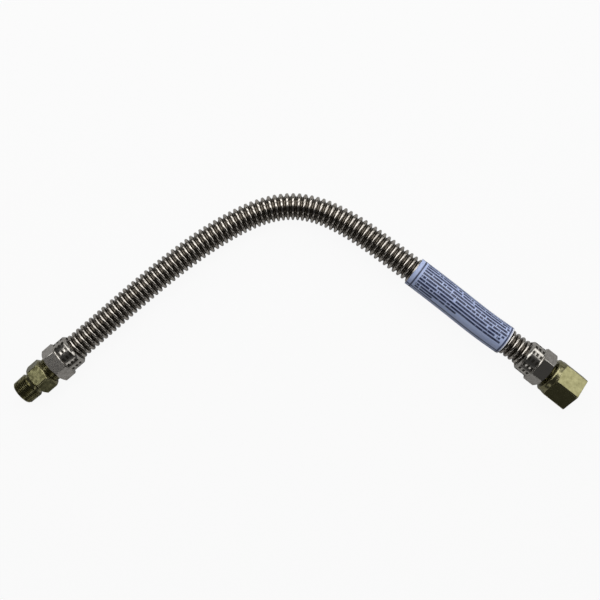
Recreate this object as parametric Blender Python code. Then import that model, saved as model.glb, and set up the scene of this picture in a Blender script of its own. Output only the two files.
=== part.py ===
"""Corrugated metal gas connector, lying as it comes to rest on a flat surface.

A thin bellows tube is bent once in the middle. Each of its flared ends is held by a flare nut
on a brass pipe adapter, one male and one female, and a printed sleeve is wrapped round one leg.

Metres, +Z up. The surface is z = 0, +X runs from the male end to the female end, +Y towards
the top of the bend, and the origin is under the middle of the part's box.

Each end has a frame of its own: its x is the distance out from the rear face of the nut along
the fitting's axis, and a profile is a list of (x, radius) points round that axis.
"""

import math

import bmesh
import bpy
import numpy as np
from mathutils import Matrix, Vector

# Clearances
TOUCH_GAP = 0.0003
SLEEVE_PLAY = 0.0012

# Tube: a bellows with a plain cuff and a 45 degree flare at each end
CREST_DIAMETER = 0.0272
TROUGH_DIAMETER = 0.0206
TUBE_WALL = 0.0004
FOLD_PITCH = 0.0056
FOLDS_INSIDE_NUT = 0.0056
CUFF_LENGTH = 0.0066
FLARE_DIAMETER = 0.0246
TUBE_SIDES = 14

# Flare nut: a round turned skirt at the tube and a hexagon at the adapter
SKIRT_DIAMETER = 0.0334
SKIRT_LENGTH = 0.0148
SKIRT_FACE_DIAMETER = 0.0290
SKIRT_CHAMFER = 0.0023
NUT_ACROSS_FLATS = 0.0336
NUT_HEX_LENGTH = 0.0149
NUT_FACE_DIAMETER = 0.0306
NUT_CHAMFER = 0.0022
NUT_BACK_DIAMETER = 0.0330
NUT_BACK_CHAMFER = 0.0015
NUT_LIP_LENGTH = 0.0030

# Flare thread of both adapters
FLARE_THREAD_DIAMETER = 0.0262
ADAPTER_BORE_DIAMETER = 0.0180
NOSE_LAND = 0.0006

# Male adapter: a hexagon collar, a relief groove and a tapered pipe thread
NUT_TO_COLLAR = 0.0053
COLLAR_ACROSS_FLATS = 0.0300
COLLAR_LENGTH = 0.0170
COLLAR_FACE_DIAMETER = 0.0276
COLLAR_CHAMFER = 0.0030
RELIEF_DIAMETER = 0.0232
RELIEF_LENGTH = 0.0040
PIPE_THREAD_DIAMETER = 0.0267
PIPE_THREAD_LENGTH = 0.0145
PIPE_TAPER = 1 / 16
PIPE_TIP_CHAMFER = 0.0013

# Female adapter: a round shoulder, then a hexagon block with a tapered socket
NUT_TO_SHOULDER = 0.0021
SHOULDER_DIAMETER = 0.0368
SHOULDER_LENGTH = 0.0057
SHOULDER_FACE_DIAMETER = 0.0290
SHOULDER_CHAMFER = 0.0020
BLOCK_ACROSS_FLATS = 0.0373
BLOCK_LENGTH = 0.0264
BLOCK_FACE_DIAMETER = 0.0420
BLOCK_CHAMFER = 0.0006
BLOCK_BACK_DIAMETER = 0.0364
BLOCK_BACK_CHAMFER = 0.0018
SOCKET_DIAMETER = 0.0247
SOCKET_DEPTH = 0.0165
SOCKET_LEAD_CHAMFER = 0.0012

# Printed sleeve round the leg of the female end
SLEEVE_WALL = 0.0004
SLEEVE_LENGTH = 0.1150
SLEEVE_TO_NUT = 0.0222
SLEEVE_SIDES = 24
SLEEVE_RING_SPACING = 0.0100

# Which way a corner of each hexagon points: degrees from straight up, round the outward axis
MALE_NUT_ROLL = 30.0
COLLAR_ROLL = -21.4
FEMALE_NUT_ROLL = 39.2
BLOCK_ROLL = 9.2

# The tube's route between the rear faces of the two nuts, as x and y of points on its
# centreline, and the headings of its two ends in degrees from +X
ROUTE = [
    (-0.2259, -0.0479),
    (-0.1991, -0.0247),
    (-0.1737, -0.0025),
    (-0.1479, 0.0194),
    (-0.1215, 0.0406),
    (-0.0939, 0.0605),
    (-0.0647, 0.0782),
    (-0.0373, 0.0901),
    (-0.0078, 0.0951),
    (0.0174, 0.0913),
    (0.0412, 0.0814),
    (0.0631, 0.0682),
    (0.0907, 0.0483),
    (0.1244, 0.0229),
    (0.1575, -0.0030),
    (0.1905, -0.0288),
    (0.2245, -0.0531),
]
TOP_POINT = 8
START_HEADING = 40.5
END_HEADING = -38.3
ROUTE_STEPS = 24

TURNED_SIDES = 32
CUTTER_REACH = 0.0005
MERGE_DISTANCE = 1e-6


def corner_radius(across_flats):
    """The distance from a hexagon's centre to its corners."""
    return across_flats / 2 / math.cos(math.radians(30))


def hexagon_reach(across_flats, roll):
    """How far a hexagon reaches straight down from its axis."""
    nearest = (roll + 30) % 60 - 30
    return corner_radius(across_flats) * math.cos(math.radians(nearest))


class Route:
    """The tube's centreline: one smooth curve through chosen points, straight past its ends."""

    def __init__(self, points, top, start_height, top_height, end_height):
        plan = np.array(points)
        knots = np.concatenate([[0], np.cumsum(np.linalg.norm(np.diff(plan, axis=0), axis=1))])
        rise = abs(knots - knots[top]) / np.where(knots < knots[top], knots[top], knots[-1] - knots[top])
        ease = rise**2 * (3 - 2 * rise)
        ends = np.where(knots < knots[top], start_height, end_height)
        through = np.column_stack([plan, top_height + (ends - top_height) * ease])
        self.points, self.tangents = self.smooth(through, knots)
        steps = np.linalg.norm(np.diff(self.points, axis=0), axis=1)
        self.along = np.concatenate([[0], np.cumsum(steps)])
        self.length = float(self.along[-1])

    @staticmethod
    def smooth(through, knots):
        """Points and directions on the cubic spline through the knots, with the ends' headings."""
        count = len(knots)
        spans = np.diff(knots)
        slopes = np.diff(through, axis=0) / spans[:, None]
        system, wanted = np.eye(count), np.zeros((count, 3))
        for row, heading in ((0, START_HEADING), (count - 1, END_HEADING)):
            angle = math.radians(heading)
            wanted[row] = math.cos(angle), math.sin(angle), 0
        for i in range(1, count - 1):
            before, after = spans[i - 1], spans[i]
            system[i, i - 1 : i + 2] = after, 2 * (before + after), before
            wanted[i] = 3 * (after * slopes[i - 1] + before * slopes[i])
        speed = np.linalg.solve(system, wanted)
        points, tangents = [], []
        for i, span in enumerate(spans):
            shares = np.arange(ROUTE_STEPS + (i == count - 2)) / ROUTE_STEPS
            for t in shares:
                bulge = (speed[i] + speed[i + 1] - 2 * slopes[i]) * span
                lean = (3 * slopes[i] - 2 * speed[i] - speed[i + 1]) * span
                points.append(through[i] + speed[i] * span * t + lean * t**2 + bulge * t**3)
                tangents.append(speed[i] * span + 2 * lean * t + 3 * bulge * t**2)
        return np.array(points), np.array(tangents)

    def at(self, distance):
        """The centreline's point and direction at a distance from its start."""
        inside = min(max(distance, 0), self.length)
        point = [np.interp(inside, self.along, self.points[:, k]) for k in range(3)]
        tangent = [np.interp(inside, self.along, self.tangents[:, k]) for k in range(3)]
        direction = Vector(tangent).normalized()
        return Vector(point) + direction * (distance - inside), direction

    def bend(self, bm, lowered=0.0):
        """Moves a straight piece that lies along +X onto the centreline."""
        for vert in bm.verts:
            point, direction = self.at(vert.co.x)
            side = Vector((0, 0, 1)).cross(direction).normalized()
            up = direction.cross(side)
            vert.co = point + side * vert.co.y + up * (vert.co.z - lowered)


def material(name, colour, roughness, metallic):
    """A plain surface of one colour."""
    made = bpy.data.materials.new(name)
    made.use_nodes = True
    surface = made.node_tree.nodes["Principled BSDF"]
    surface.inputs["Base Color"].default_value = (*colour, 1)
    surface.inputs["Roughness"].default_value = roughness
    surface.inputs["Metallic"].default_value = metallic
    return made


def add_object(name, bm, surface=None):
    """Turns a bmesh into an object with smooth round faces and sharp edges."""
    bmesh.ops.recalc_face_normals(bm, faces=bm.faces)
    mesh = bpy.data.meshes.new(name)
    bm.to_mesh(mesh)
    bm.free()
    mesh.shade_smooth()
    mesh.set_sharp_from_angle(angle=math.radians(35))
    if surface:
        mesh.materials.append(surface)
    made = bpy.data.objects.new(name, mesh)
    bpy.context.scene.collection.objects.link(made)
    return made


def turned(profile, sides, closed=False):
    """A bmesh of a profile turned round the x axis. An open profile starts and ends on it."""
    bm = bmesh.new()
    verts = [bm.verts.new((x, 0, radius)) for x, radius in profile]
    edges = [bm.edges.new(pair) for pair in zip(verts, verts[1:])]
    if closed:
        edges.append(bm.edges.new((verts[-1], verts[0])))
    bmesh.ops.spin(
        bm,
        geom=verts + edges,
        cent=(0, 0, 0),
        axis=(1, 0, 0),
        angle=math.tau,
        steps=sides,
        use_merge=True,
    )
    bmesh.ops.remove_doubles(bm, verts=bm.verts, dist=MERGE_DISTANCE)
    return bm


def guide(tool):
    """Keeps an object that only shapes another one out of the finished part."""
    tool.hide_render = True
    tool.display_type = "WIRE"


def combine(body, tool, operation):
    """Unites, cuts or intersects a body with another object, which stays as a guide."""
    step = body.modifiers.new(tool.name, "BOOLEAN")
    step.operation = operation
    step.solver = "EXACT"
    step.object = tool
    guide(tool)


def hexagon(name, across_flats, start, end, start_face, end_face, surface=None):
    """A hexagon bar from start to end along x, a corner up, with turned chamfers.

    Each face is (its diameter, the chamfer's length), or None for a plain sawn end.
    """
    radius = corner_radius(across_flats)
    bm = bmesh.new()
    bmesh.ops.create_cone(
        bm, cap_ends=True, segments=6, radius1=radius, radius2=radius, depth=end - start
    )
    turn = Matrix.Rotation(math.radians(90), 4, "X") @ Matrix.Rotation(math.radians(90), 4, "Y")
    middle = Matrix.Translation(((start + end) / 2, 0, 0))
    bmesh.ops.transform(bm, matrix=middle @ turn, verts=bm.verts)
    bar = add_object(name, bm, surface)
    wide = radius + CUTTER_REACH
    outline = [(start - CUTTER_REACH, 0)]
    for face, x, inward in ((start_face, start, 1), (end_face, end, -1)):
        if face:
            diameter, length = face
            slope = (radius - diameter / 2) / length
            edge = (x - inward * CUTTER_REACH, diameter / 2 - slope * CUTTER_REACH)
            full = (x + inward * (length + CUTTER_REACH / slope), wide)
        else:
            edge = (x - inward * CUTTER_REACH, wide)
            full = None
        corners = [point for point in (edge, full) if point]
        outline += corners if inward > 0 else corners[::-1]
    outline.append((end + CUTTER_REACH, 0))
    combine(bar, add_object(f"{name}_chamfers", turned(outline, TURNED_SIDES)), "INTERSECT")
    return bar


def nut_length():
    """From the rear face of a nut to its front face."""
    return SKIRT_LENGTH + NUT_HEX_LENGTH


def flare_start():
    """Where the tube's cuff turns out into its flare, in an end's own frame."""
    return FOLDS_INSIDE_NUT + CUFF_LENGTH


def on_flare(radius, inset):
    """The x at which a 45 degree cone inset squarely from the flare's outer face has a radius."""
    return flare_start() + radius - TROUGH_DIAMETER / 2 + inset * math.sqrt(2)


def build_tube(route, surface):
    """The bellows with its cuffs and flares: one closed wall, turned straight and then bent."""
    cuff, flare = TROUGH_DIAMETER / 2, FLARE_DIAMETER / 2
    folded = route.length + 2 * FOLDS_INSIDE_NUT
    folds = round(folded / FOLD_PITCH)
    half_pitch = folded / folds / 2
    depth = (CREST_DIAMETER - TROUGH_DIAMETER) / 2
    wall_across_fold = TUBE_WALL * math.hypot(depth, half_pitch) / half_pitch
    tip = on_flare(flare, 0)
    outer, inner = [(-tip, flare)], [(-tip, flare - TUBE_WALL * math.sqrt(2))]
    outer.append((-flare_start(), cuff))
    inner.append((-on_flare(cuff - TUBE_WALL, TUBE_WALL), cuff - TUBE_WALL))
    for i in range(2 * folds + 1):
        x = -FOLDS_INSIDE_NUT + i * half_pitch
        radius = cuff + depth * (i % 2)
        outer.append((x, radius))
        inner.append((x, radius - wall_across_fold))
    outer += [(route.length - x, radius) for x, radius in outer[1::-1]]
    inner += [(route.length - x, radius) for x, radius in inner[1::-1]]
    bm = turned(outer + inner[::-1], TUBE_SIDES, closed=True)
    route.bend(bm)
    return add_object("corrugated_tube", bm, surface)


def build_nut(name, end, roll, surface):
    """A flare nut: the folds fit its skirt, the flare its cone, the adapter its thread."""
    length = nut_length()
    nut = hexagon(
        name,
        NUT_ACROSS_FLATS,
        SKIRT_LENGTH,
        length,
        (NUT_BACK_DIAMETER, NUT_BACK_CHAMFER),
        (NUT_FACE_DIAMETER, NUT_CHAMFER),
        surface,
    )
    skirt = [
        (0, 0),
        (0, SKIRT_FACE_DIAMETER / 2),
        (SKIRT_CHAMFER, SKIRT_DIAMETER / 2),
        (SKIRT_LENGTH + NUT_BACK_CHAMFER, SKIRT_DIAMETER / 2),
        (SKIRT_LENGTH + NUT_BACK_CHAMFER, 0),
    ]
    combine(nut, add_object(f"{name}_skirt", turned(skirt, TURNED_SIDES)), "UNION")
    fold_bore = CREST_DIAMETER / 2 + TOUCH_GAP
    cuff_bore = TROUGH_DIAMETER / 2 + TOUCH_GAP
    thread_bore = FLARE_THREAD_DIAMETER / 2 + TOUCH_GAP
    cone_start = on_flare(cuff_bore, -TOUCH_GAP)
    bore = [
        (-CUTTER_REACH, 0),
        (-CUTTER_REACH, fold_bore),
        (cone_start - NUT_LIP_LENGTH, fold_bore),
        (cone_start - NUT_LIP_LENGTH, cuff_bore),
        (cone_start, cuff_bore),
        (on_flare(thread_bore, -TOUCH_GAP), thread_bore),
        (length + CUTTER_REACH, thread_bore),
        (length + CUTTER_REACH, 0),
    ]
    combine(nut, add_object(f"{name}_bore", turned(bore, TURNED_SIDES)), "DIFFERENCE")
    place(nut, end, roll)
    return nut


def nose():
    """The outside of an adapter in its nut: the bore's edge, the cone and the flare thread."""
    bore = ADAPTER_BORE_DIAMETER / 2
    land = bore + NOSE_LAND
    thread = FLARE_THREAD_DIAMETER / 2
    inset = TUBE_WALL + TOUCH_GAP
    return [(on_flare(land, inset), land), (on_flare(thread, inset), thread)]


def build_male_adapter(end, surface):
    """A brass adapter from the flare thread to a male tapered pipe thread."""
    collar_start = nut_length() + NUT_TO_COLLAR
    collar_end = collar_start + COLLAR_LENGTH
    adapter = hexagon(
        "male_pipe_adapter",
        COLLAR_ACROSS_FLATS,
        collar_start,
        collar_end,
        (COLLAR_FACE_DIAMETER, COLLAR_CHAMFER),
        (COLLAR_FACE_DIAMETER, COLLAR_CHAMFER),
        surface,
    )
    thread_start = collar_end + RELIEF_LENGTH
    tip = thread_start + PIPE_THREAD_LENGTH
    large = PIPE_THREAD_DIAMETER / 2
    small = large - PIPE_THREAD_LENGTH * PIPE_TAPER / 2
    stem = [
        *nose(),
        (collar_start + COLLAR_CHAMFER, FLARE_THREAD_DIAMETER / 2),
        (collar_end - COLLAR_CHAMFER, RELIEF_DIAMETER / 2),
        (thread_start, RELIEF_DIAMETER / 2),
        (thread_start + large - RELIEF_DIAMETER / 2, large),
        (tip - PIPE_TIP_CHAMFER, small),
        (tip, small - PIPE_TIP_CHAMFER),
    ]
    stem = [(stem[0][0], 0), *stem, (tip, 0)]
    combine(adapter, add_object("male_pipe_adapter_stem", turned(stem, TURNED_SIDES)), "UNION")
    bore = ADAPTER_BORE_DIAMETER / 2
    start = stem[0][0] - CUTTER_REACH
    hole = [(start, 0), (start, bore), (tip + CUTTER_REACH, bore), (tip + CUTTER_REACH, 0)]
    cutter = add_object("male_pipe_adapter_bore", turned(hole, TURNED_SIDES))
    combine(adapter, cutter, "DIFFERENCE")
    place(adapter, end, COLLAR_ROLL)
    return adapter


def build_female_adapter(end, surface):
    """A brass adapter from the flare thread to a hexagon block with a female pipe socket."""
    shoulder_start = nut_length() + NUT_TO_SHOULDER
    block_start = shoulder_start + SHOULDER_LENGTH
    mouth = block_start + BLOCK_LENGTH
    adapter = hexagon(
        "female_pipe_adapter",
        BLOCK_ACROSS_FLATS,
        block_start,
        mouth,
        (BLOCK_BACK_DIAMETER, BLOCK_BACK_CHAMFER),
        (BLOCK_FACE_DIAMETER, BLOCK_CHAMFER),
        surface,
    )
    stem = [
        *nose(),
        (shoulder_start, FLARE_THREAD_DIAMETER / 2),
        (shoulder_start, SHOULDER_FACE_DIAMETER / 2),
        (shoulder_start + SHOULDER_CHAMFER, SHOULDER_DIAMETER / 2),
        (block_start + BLOCK_BACK_CHAMFER, SHOULDER_DIAMETER / 2),
    ]
    stem = [(stem[0][0], 0), *stem, (stem[-1][0], 0)]
    combine(adapter, add_object("female_pipe_adapter_stem", turned(stem, TURNED_SIDES)), "UNION")
    bore, wide = ADAPTER_BORE_DIAMETER / 2, SOCKET_DIAMETER / 2
    narrow = wide - SOCKET_DEPTH * PIPE_TAPER / 2
    start = stem[0][0] - CUTTER_REACH
    lead = wide + SOCKET_LEAD_CHAMFER
    hole = [
        (start, 0),
        (start, bore),
        (mouth - SOCKET_DEPTH, bore),
        (mouth - SOCKET_DEPTH, narrow),
        (mouth - SOCKET_LEAD_CHAMFER, wide),
        (mouth, lead),
        (mouth + CUTTER_REACH, lead),
        (mouth + CUTTER_REACH, 0),
    ]
    cutter = add_object("female_pipe_adapter_bore", turned(hole, TURNED_SIDES))
    combine(adapter, cutter, "DIFFERENCE")
    place(adapter, end, BLOCK_ROLL)
    return adapter


def build_sleeve(route, surface):
    """The printed sleeve: a loose thin tube that hangs from the tops of the folds."""
    end = route.length - SLEEVE_TO_NUT
    start = end - SLEEVE_LENGTH
    inner = CREST_DIAMETER / 2 + SLEEVE_PLAY
    outer = inner + SLEEVE_WALL
    rings = round(SLEEVE_LENGTH / SLEEVE_RING_SPACING)
    places = [start + SLEEVE_LENGTH * i / rings for i in range(rings + 1)]
    wall = [(x, outer) for x in places] + [(x, inner) for x in reversed(places)]
    bm = turned(wall, SLEEVE_SIDES, closed=True)
    route.bend(bm, lowered=SLEEVE_PLAY - TOUCH_GAP)
    return add_object("label_sleeve", bm, surface)


def place(fitting, end, roll):
    """Turns a fitting and the guides that shape it by roll, at one end's frame."""
    fitting.parent = end
    fitting.rotation_euler.x = math.radians(roll)
    for step in fitting.modifiers:
        place(step.object, end, roll)


def add_end(name, point, heading):
    """An empty at the rear face of a nut, with its x along the fitting's axis."""
    end = bpy.data.objects.new(name, None)
    end.location = point
    end.rotation_euler.z = math.radians(heading)
    end.empty_display_size = CREST_DIAMETER
    bpy.context.scene.collection.objects.link(end)
    return end


def main():
    for old in list(bpy.data.objects):
        bpy.data.objects.remove(old)

    steel = material("stainless_tube", (0.62, 0.58, 0.53), 0.28, 1.0)
    plated = material("plated_steel_nut", (0.42, 0.40, 0.37), 0.42, 1.0)
    brass = material("brass", (0.66, 0.60, 0.38), 0.25, 1.0)
    paper = material("printed_sleeve", (0.50, 0.56, 0.78), 0.55, 0.0)

    start_height = max(
        hexagon_reach(NUT_ACROSS_FLATS, MALE_NUT_ROLL),
        hexagon_reach(COLLAR_ACROSS_FLATS, COLLAR_ROLL),
    )
    end_height = max(
        hexagon_reach(NUT_ACROSS_FLATS, FEMALE_NUT_ROLL),
        hexagon_reach(BLOCK_ACROSS_FLATS, BLOCK_ROLL),
    )
    route = Route(ROUTE, TOP_POINT, start_height, CREST_DIAMETER / 2, end_height)
    male_end = add_end("male_end", route.at(0)[0], START_HEADING + 180)
    female_end = add_end("female_end", route.at(route.length)[0], END_HEADING)

    build_tube(route, steel)
    build_nut("flare_nut_male_end", male_end, MALE_NUT_ROLL, plated)
    build_nut("flare_nut_female_end", female_end, FEMALE_NUT_ROLL, plated)
    build_male_adapter(male_end, brass)
    build_female_adapter(female_end, brass)
    build_sleeve(route, paper)


main()
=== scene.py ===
"""The looks of a corrugated gas connector: bellows tube, flare nuts, brass adapters, sleeve.

Everything is in metres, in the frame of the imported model: the surface is z = 0 and +X runs
from the male end to the female end. A fitting is modelled along +X, with x the distance out
from the rear face of its nut, and is then placed at its end of the tube.
"""

import logging
import math
from dataclasses import dataclass, field
from enum import Enum

import bmesh
import bpy
import numpy as np
from bmesh.types import BMEdge, BMesh
from bpy.types import Material, Mesh, Node, NodeSocket, NodeTree, Object, World
from mathutils import Matrix, Vector


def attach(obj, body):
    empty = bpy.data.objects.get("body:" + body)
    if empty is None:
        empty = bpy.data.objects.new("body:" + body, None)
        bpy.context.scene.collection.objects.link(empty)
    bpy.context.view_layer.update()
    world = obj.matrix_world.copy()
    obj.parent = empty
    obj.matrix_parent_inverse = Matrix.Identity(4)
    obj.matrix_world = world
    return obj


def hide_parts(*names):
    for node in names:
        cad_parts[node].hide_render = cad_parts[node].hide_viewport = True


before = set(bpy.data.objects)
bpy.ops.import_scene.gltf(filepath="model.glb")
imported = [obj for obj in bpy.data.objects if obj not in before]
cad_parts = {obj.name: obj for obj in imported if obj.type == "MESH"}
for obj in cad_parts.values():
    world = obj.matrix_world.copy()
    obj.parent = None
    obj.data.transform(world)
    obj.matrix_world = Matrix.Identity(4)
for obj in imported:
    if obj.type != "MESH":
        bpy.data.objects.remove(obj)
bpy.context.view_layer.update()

Profile = list[tuple[float, float]]
Feed = NodeSocket | float | tuple

LOG = logging.getLogger("gas_connector")

MM = 0.001
TOUCH_GAP = 0.3 * MM
CUTTER_REACH = 0.5 * MM
OVERLAP = 1.0 * MM
MERGE_DISTANCE = 1e-7
CUT_MERGE_DISTANCE = 1e-6
SMOOTH_ANGLE = math.radians(32)
DIAGONAL = math.sqrt(2)
TURNED_SIDES = 96
SKIRT_SIDES = 112
NODE_SPACING = 180

# Sizes that more than one piece goes by
CREST_DIAMETER = 27.2 * MM
CUFF_DIAMETER = 20.6 * MM
CUFF_LENGTH = 6.6 * MM
FOLD_REACH = 5.6 * MM
NUT_FLATS = 33.6 * MM
BLOCK_FLATS = 37.3 * MM
SLEEVE_LENGTH = 115.0 * MM

# How far each hexagon is turned about its axis, in degrees, from one corner up
MALE_NUT_ROLL = 30.0
COLLAR_ROLL = -21.4
FEMALE_NUT_ROLL = 39.2
BLOCK_ROLL = 9.2

# How far the marks are turned round each nut's skirt, in degrees
MALE_MARK_TURN = 8.3
FEMALE_MARK_TURN = 17.9

# The finish of a face of a fitting, as the place of its material; the third is the painted shade on
# the marks' floors
TURNED, FLAT, MARK_SHADE = range(3)

# The tube's centreline between the rear faces of the nuts: x and y of chosen points
ROUTE_POINTS = [
    (-0.2259, -0.0479),
    (-0.1991, -0.0247),
    (-0.1737, -0.0025),
    (-0.1479, 0.0194),
    (-0.1215, 0.0406),
    (-0.0939, 0.0605),
    (-0.0647, 0.0782),
    (-0.0373, 0.0901),
    (-0.0078, 0.0951),
    (0.0174, 0.0913),
    (0.0412, 0.0814),
    (0.0631, 0.0682),
    (0.0907, 0.0483),
    (0.1244, 0.0229),
    (0.1575, -0.0030),
    (0.1905, -0.0288),
    (0.2245, -0.0531),
]


class Cut(Enum):
    """How two solids are combined."""

    JOIN = "UNION"
    REMOVE = "DIFFERENCE"
    KEEP_COMMON = "INTERSECT"


def corner_radius(across_flats: float) -> float:
    """The distance from a hexagon's centre to its corners."""
    return across_flats / 2 / math.cos(math.radians(30))


def hexagon_reach(across_flats: float, roll: float) -> float:
    """How far a hexagon whose corner is turned by roll degrees reaches straight down."""
    nearest = (roll + 30) % 60 - 30
    return corner_radius(across_flats) * math.cos(math.radians(nearest))


@dataclass
class Route:
    """The tube's centreline: a smooth curve through chosen points, straight past its ends.

    Attributes:
        start_height: Its height at the male end.
        top_height: Its height at the top of the bend.
        end_height: Its height at the female end.
        top: Which of the chosen points is the top of the bend.
        start_heading: Its direction at the male end, in degrees from +X towards +Y.
        end_heading: Its direction at the female end.
        steps: How many steps there are between two chosen points.
    """

    start_height: float
    top_height: float
    end_height: float
    top: int = 8
    start_heading: float = 40.5
    end_heading: float = -38.3
    steps: int = 24
    points: np.ndarray = field(init=False)
    tangents: np.ndarray = field(init=False)
    along: np.ndarray = field(init=False)

    def __post_init__(self) -> None:
        """Works out the curve once."""
        plan = np.array(ROUTE_POINTS)
        spans = np.linalg.norm(np.diff(plan, axis=0), axis=1)
        knots = np.concatenate([[0], np.cumsum(spans)])
        before_top = knots < knots[self.top]
        leg = np.where(before_top, knots[self.top], knots[-1] - knots[self.top])
        rise = abs(knots - knots[self.top]) / leg
        ends = np.where(before_top, self.start_height, self.end_height)
        heights = self.top_height + (ends - self.top_height) * rise**2 * (3 - 2 * rise)
        self.points, self.tangents = self.spline(np.column_stack([plan, heights]), spans)
        strides = np.linalg.norm(np.diff(self.points, axis=0), axis=1)
        self.along = np.concatenate([[0], np.cumsum(strides)])

    def spline(self, through: np.ndarray, spans: np.ndarray) -> tuple[np.ndarray, np.ndarray]:
        """The cubic spline through the knots that has the ends' headings.

        Args:
            through: The knots, one row each.
            spans: The distance from each knot to the next.

        Returns:
            Points on the curve, and a vector along the curve at each of them.
        """
        count = len(through)
        slopes = np.diff(through, axis=0) / spans[:, None]
        system, wanted = np.eye(count), np.zeros((count, 3))
        for row, heading in ((0, self.start_heading), (count - 1, self.end_heading)):
            angle = math.radians(heading)
            wanted[row] = math.cos(angle), math.sin(angle), 0
        for i in range(1, count - 1):
            before, after = spans[i - 1], spans[i]
            system[i, i - 1 : i + 2] = after, 2 * (before + after), before
            wanted[i] = 3 * (after * slopes[i - 1] + before * slopes[i])
        speed = np.linalg.solve(system, wanted)
        points, tangents = [], []
        for i, span in enumerate(spans):
            bulge = (speed[i] + speed[i + 1] - 2 * slopes[i]) * span
            lean = (3 * slopes[i] - 2 * speed[i] - speed[i + 1]) * span
            for t in np.arange(self.steps + (i == count - 2)) / self.steps:
                points.append(through[i] + speed[i] * span * t + lean * t**2 + bulge * t**3)
                tangents.append(speed[i] * span + 2 * lean * t + 3 * bulge * t**2)
        return np.array(points), np.array(tangents)

    @property
    def length(self) -> float:
        """The length of the curve between its two ends."""
        return float(self.along[-1])

    def at(self, distances: np.ndarray) -> tuple[np.ndarray, np.ndarray]:
        """Points and directions on the centreline.

        Args:
            distances: How far along, below 0 or past the length on the straight ends.

        Returns:
            A row of three numbers for each distance: the points, and the unit directions.
        """
        inside = np.clip(distances, 0, self.length)
        point = np.column_stack([np.interp(inside, self.along, c) for c in self.points.T])
        lead = np.column_stack([np.interp(inside, self.along, c) for c in self.tangents.T])
        lead /= np.linalg.norm(lead, axis=1)[:, None]
        return point + lead * (distances - inside)[:, None], lead

    def bend(self, straight: np.ndarray, lowered: float = 0.0) -> np.ndarray:
        """Moves points of a piece that lies along +X onto the centreline.

        Args:
            straight: The points, one row each.
            lowered: How far the piece's own axis lies below the centreline.

        Returns:
            The moved points.
        """
        point, lead = self.at(straight[:, 0])
        side = np.cross((0, 0, 1), lead)
        side /= np.linalg.norm(side, axis=1)[:, None]
        up = np.cross(lead, side)
        return point + side * straight[:, 1:2] + up * (straight[:, 2:3] - lowered)

    def bend_mesh(self, mesh: Mesh, lowered: float = 0.0) -> np.ndarray:
        """Moves a mesh that lies along +X onto the centreline, and returns its straight points."""
        straight = np.empty(len(mesh.vertices) * 3)
        mesh.vertices.foreach_get("co", straight)
        straight = straight.reshape(-1, 3)
        mesh.vertices.foreach_set("co", self.bend(straight, lowered).ravel())
        return straight


def spun(profile: Profile, sides: int = TURNED_SIDES, closed: bool = False) -> BMesh:
    """Turns a profile round the x axis.

    Args:
        profile: Pairs of x and radius.
        sides: How many steps make the full turn.
        closed: Whether the profile's last point joins its first. If not, both join the axis.

    Returns:
        A closed solid.
    """
    bm = bmesh.new()
    if not closed:
        profile = [(profile[0][0], 0), *profile, (profile[-1][0], 0)]
    verts = [bm.verts.new((x, 0, radius)) for x, radius in profile]
    edges = [bm.edges.new(pair) for pair in zip(verts, verts[1:])]
    if closed:
        edges.append(bm.edges.new((verts[-1], verts[0])))
    bmesh.ops.spin(
        bm,
        geom=verts + edges,
        cent=(0, 0, 0),
        axis=(1, 0, 0),
        angle=math.tau,
        steps=sides,
        use_merge=True,
    )
    bmesh.ops.remove_doubles(bm, verts=bm.verts, dist=MERGE_DISTANCE)
    bmesh.ops.recalc_face_normals(bm, faces=bm.faces)
    return bm


def as_object(bm: BMesh, name: str) -> Object:
    """Turns a bmesh into an object in the scene, and frees the bmesh."""
    mesh = bpy.data.meshes.new(name)
    bm.to_mesh(mesh)
    bm.free()
    made = bpy.data.objects.new(name, mesh)
    bpy.context.scene.collection.objects.link(made)
    return made


def combined(body: BMesh, tool: BMesh, how: Cut) -> BMesh:
    """Joins, cuts or intersects two closed solids, and frees both.

    Args:
        body: The solid that is kept.
        tool: The solid that it is combined with.
        how: The way they are combined.

    Returns:
        The new solid, from the first solver that gives a closed one.
    """
    kept, other = as_object(body, "kept"), as_object(tool, "other")
    step = kept.modifiers.new("combine", "BOOLEAN")
    step.operation, step.object = how.value, other
    for solver in ("MANIFOLD", "EXACT"):
        step.solver = solver
        graph = bpy.context.evaluated_depsgraph_get()
        result = bmesh.new()
        result.from_mesh(kept.evaluated_get(graph).to_mesh())
        bmesh.ops.remove_doubles(result, verts=result.verts, dist=CUT_MERGE_DISTANCE)
        if result.faces and all(edge.is_manifold for edge in result.edges):
            break
    for used in (kept, other):
        mesh = used.data
        bpy.data.objects.remove(used)
        bpy.data.meshes.remove(mesh)
    return result


def rounded(bm: BMesh, edges: list[BMEdge], width: float, segments: int, clamped: bool) -> None:
    """Rounds edges, clamped where two roundings would overlap."""
    bmesh.ops.bevel(
        bm,
        geom=edges,
        offset=width,
        offset_type="OFFSET",
        segments=segments,
        profile=0.5,
        affect="EDGES",
        clamp_overlap=clamped,
        material=-1,
    )


def hexagon_bar(across_flats: float, start: float, end: float, edge: float) -> BMesh:
    """A hexagon bar along x, one corner up, with its long edges rounded."""
    radius = corner_radius(across_flats)
    bm = bmesh.new()
    bmesh.ops.create_cone(
        bm, cap_ends=True, segments=6, radius1=radius, radius2=radius, depth=end - start
    )
    turn = Matrix.Rotation(math.radians(90), 4, "X") @ Matrix.Rotation(math.radians(90), 4, "Y")
    middle = Matrix.Translation(((start + end) / 2, 0, 0))
    bmesh.ops.transform(bm, matrix=middle @ turn, verts=bm.verts)
    long_edges = [e for e in bm.edges if abs(e.verts[0].co.x - e.verts[1].co.x) > MM]
    rounded(bm, long_edges, edge, segments=3, clamped=False)
    return bm


@dataclass(frozen=True)
class Chamfer:
    """A turned chamfer on the end of a hexagon bar.

    Attributes:
        diameter: The circle that it leaves on the end face.
        length: How far along the corners it reaches.
    """

    diameter: float
    length: float


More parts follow.
